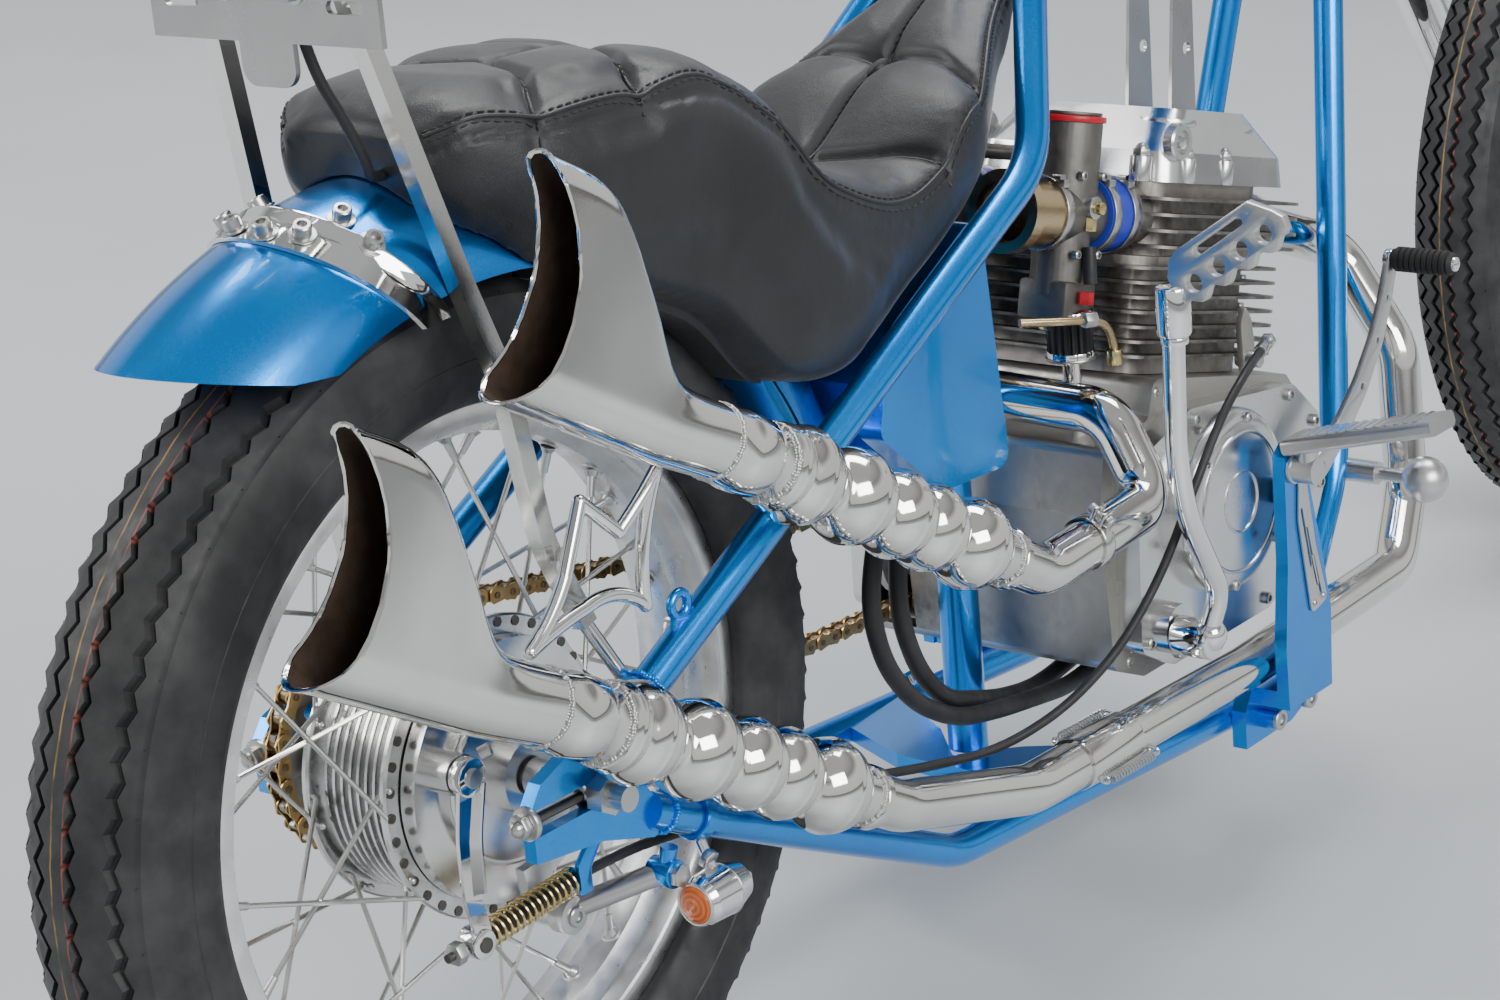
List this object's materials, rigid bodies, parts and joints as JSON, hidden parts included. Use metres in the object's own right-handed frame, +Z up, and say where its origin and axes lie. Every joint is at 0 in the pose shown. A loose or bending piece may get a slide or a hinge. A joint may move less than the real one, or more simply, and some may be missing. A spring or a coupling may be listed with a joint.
{
  "type": "chopper motorcycle",
  "caption": "Long rigid-framed chopper motorcycle with a forward-leaning air-cooled twin, bulbed fishtail exhausts and a raked sprung fork, leaning on its side stand.",
  "frame": {"origin": "on the floor, at the middle of the parked motorcycle's bounding box seen from above", "axes": "+X forward along the motorcycle, +Y to its left, +Z up from the floor; it leans 6.6 degrees to +Y"},
  "size_m": [2.3978, 0.9166, 1.3025],
  "materials": {
    "tyre": "worn",
    "chrome": "polished",
    "hub_alloy": "polished",
    "rim_alloy": "satin",
    "steel": "brushed",
    "gold_chain": "worn",
    "blue_paint": "gloss metallic",
    "cast_alloy": "cast",
    "polished_alloy": "polished",
    "seat_hide": "soft",
    "rubber": "matt"
  },
  "bodies": {
    "frame": {"backbone": "blue_paint", "upper_rails": "blue_paint", "lower_rails": "blue_paint", "downtubes": "blue_paint", "axle_plates": "blue_paint", "rear_axle": "steel", "seat_post": "blue_paint", "chain": "gold_chain", "crankcase": "cast_alloy", "engine_covers": "polished_alloy", "cylinder": "cast_alloy", "cylinder_head": "cast_alloy", "head_cover": "polished_alloy", "intake_boots": "rubber", "carburettors": "cast_alloy", "air_funnels": "chrome", "breather": "chrome", "head_steady": "steel", "lower_exhaust": "chrome", "upper_exhaust": "chrome", "lower_fishtail": "chrome", "upper_fishtail": "chrome", "star_bracket": "chrome", "sissy_bar": "chrome", "plate_bracket": "steel", "rear_fender": "blue_paint", "seat": "seat_hide", "fuel_tank": "blue_paint", "side_box": "blue_paint", "tail_lamp": "chrome", "rear_indicators": "chrome", "foot_brackets": "blue_paint", "footpegs": "polished_alloy", "foot_pedals": "polished_alloy", "kick_lever": "chrome", "brake_plate": "polished_alloy", "brake_linkage": "steel", "brake_cable": "rubber", "oil_hoses": "rubber", "stand_lug": "blue_paint"},
    "rear_wheel": {"rear_tyre": "tyre", "rear_rim": "rim_alloy", "rear_hub": "hub_alloy", "rear_sprocket": "steel"},
    "steering": {"fork_legs": "chrome", "spring_legs": "chrome", "rockers": "chrome", "handlebar": "chrome", "grips": "rubber", "headlamp": "chrome", "brake_caliper": "cast_alloy"},
    "front_wheel": {"front_tyre": "tyre", "front_rim": "rim_alloy", "front_hub": "hub_alloy", "front_disc": "steel"},
    "side_stand": {"side_stand": "chrome"}
  },
  "joints": [
    {"name": "rear_wheel_spin", "type": "hinge", "parent": "frame", "child": "rear_wheel", "pos_m": [-0.86293, -0.10408, 0.33377], "axis": [0, 0.9934, -0.1149], "continuous": true},
    {"name": "steering_turn", "type": "hinge", "parent": "frame", "child": "steering", "pos_m": [0.28007, -0.03512, 0.9298], "axis": [-0.5878, 0.093, 0.8037], "range_deg": [-30, 30]},
    {"name": "front_wheel_spin", "type": "hinge", "parent": "steering", "child": "front_wheel", "pos_m": [0.85007, -0.10247, 0.34768], "axis": [0, 0.9934, -0.1149], "continuous": true},
    {"name": "side_stand_fold", "type": "hinge", "parent": "frame", "child": "side_stand", "pos_m": [-0.16293, 0.02514, 0.09333], "axis": [0.0695, 0.6537, 0.7536], "range_deg": [0, 128.8]}
  ]
}
